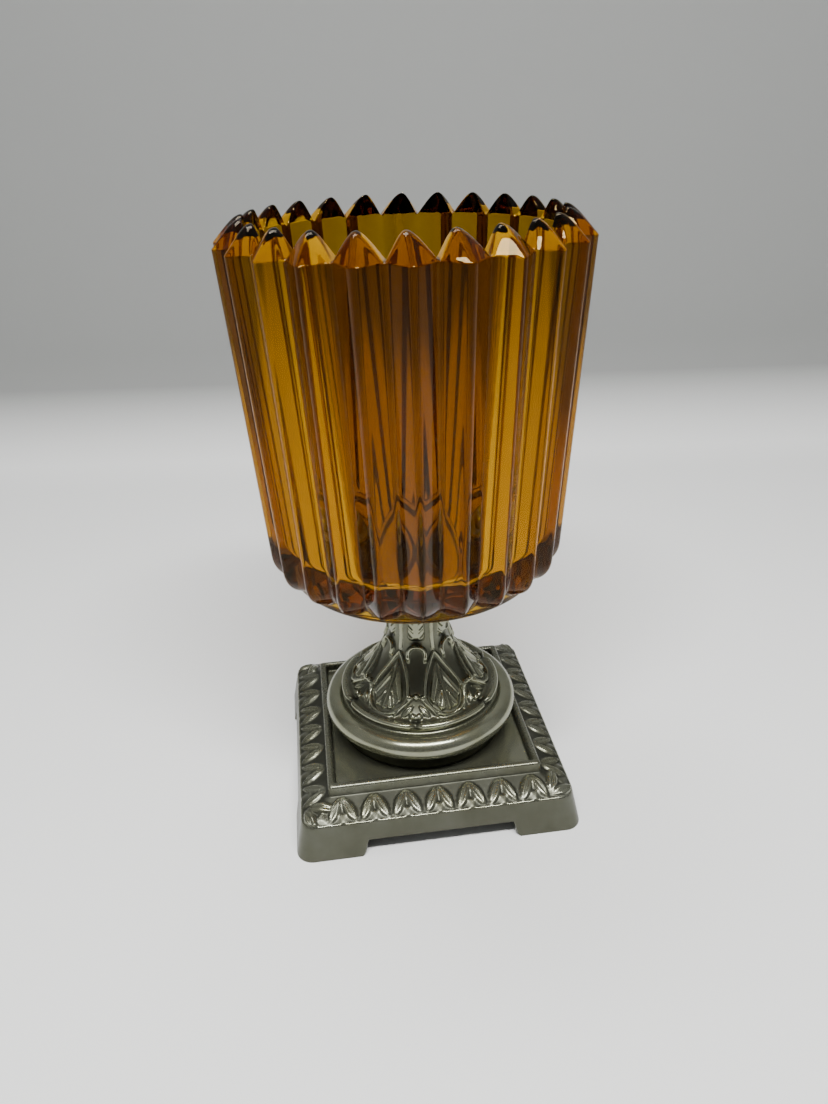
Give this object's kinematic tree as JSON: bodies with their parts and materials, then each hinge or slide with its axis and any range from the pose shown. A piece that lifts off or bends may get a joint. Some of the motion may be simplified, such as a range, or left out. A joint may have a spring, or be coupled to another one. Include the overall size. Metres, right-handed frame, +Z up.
{
  "type": "glass candlestick",
  "caption": "Ribbed amber glass candle cup with a toothed rim, clamped by a long screw to a leaf-cast metal stem on a square footed plinth.",
  "frame": {"origin": "middle of the square that the four feet stand on, at floor level", "axes": "+Z up along the stem; X and Y along the sides of the plinth, with the side that faces the viewer at -Y"},
  "size_m": [0.0758, 0.0758, 0.1375],
  "materials": {
    "plinth_metal": "antique pewter plating on cast metal, satin, dark in the recesses",
    "stem_metal": "antique pewter plating on cast metal, polished on the high points, dark in the recesses",
    "seat_metal": "dull plated steel",
    "gasket_rubber": "matte",
    "amber_glass": "clear pressed glass, glossy",
    "washer_steel": "zinc-plated, satin",
    "screw_steel": "zinc-plated, satin",
    "spring_steel": "satin"
  },
  "bodies": {
    "root": {"plinth": "plinth_metal", "stem": "stem_metal", "seat_plate": "seat_metal", "seat_gasket": "gasket_rubber", "glass_cup": "amber_glass", "floor_gasket": "gasket_rubber", "floor_washer": "washer_steel", "clamp_screw": "screw_steel", "base_washer": "washer_steel", "lock_washer": "spring_steel", "base_nut": "screw_steel"}
  },
  "joints": []
}
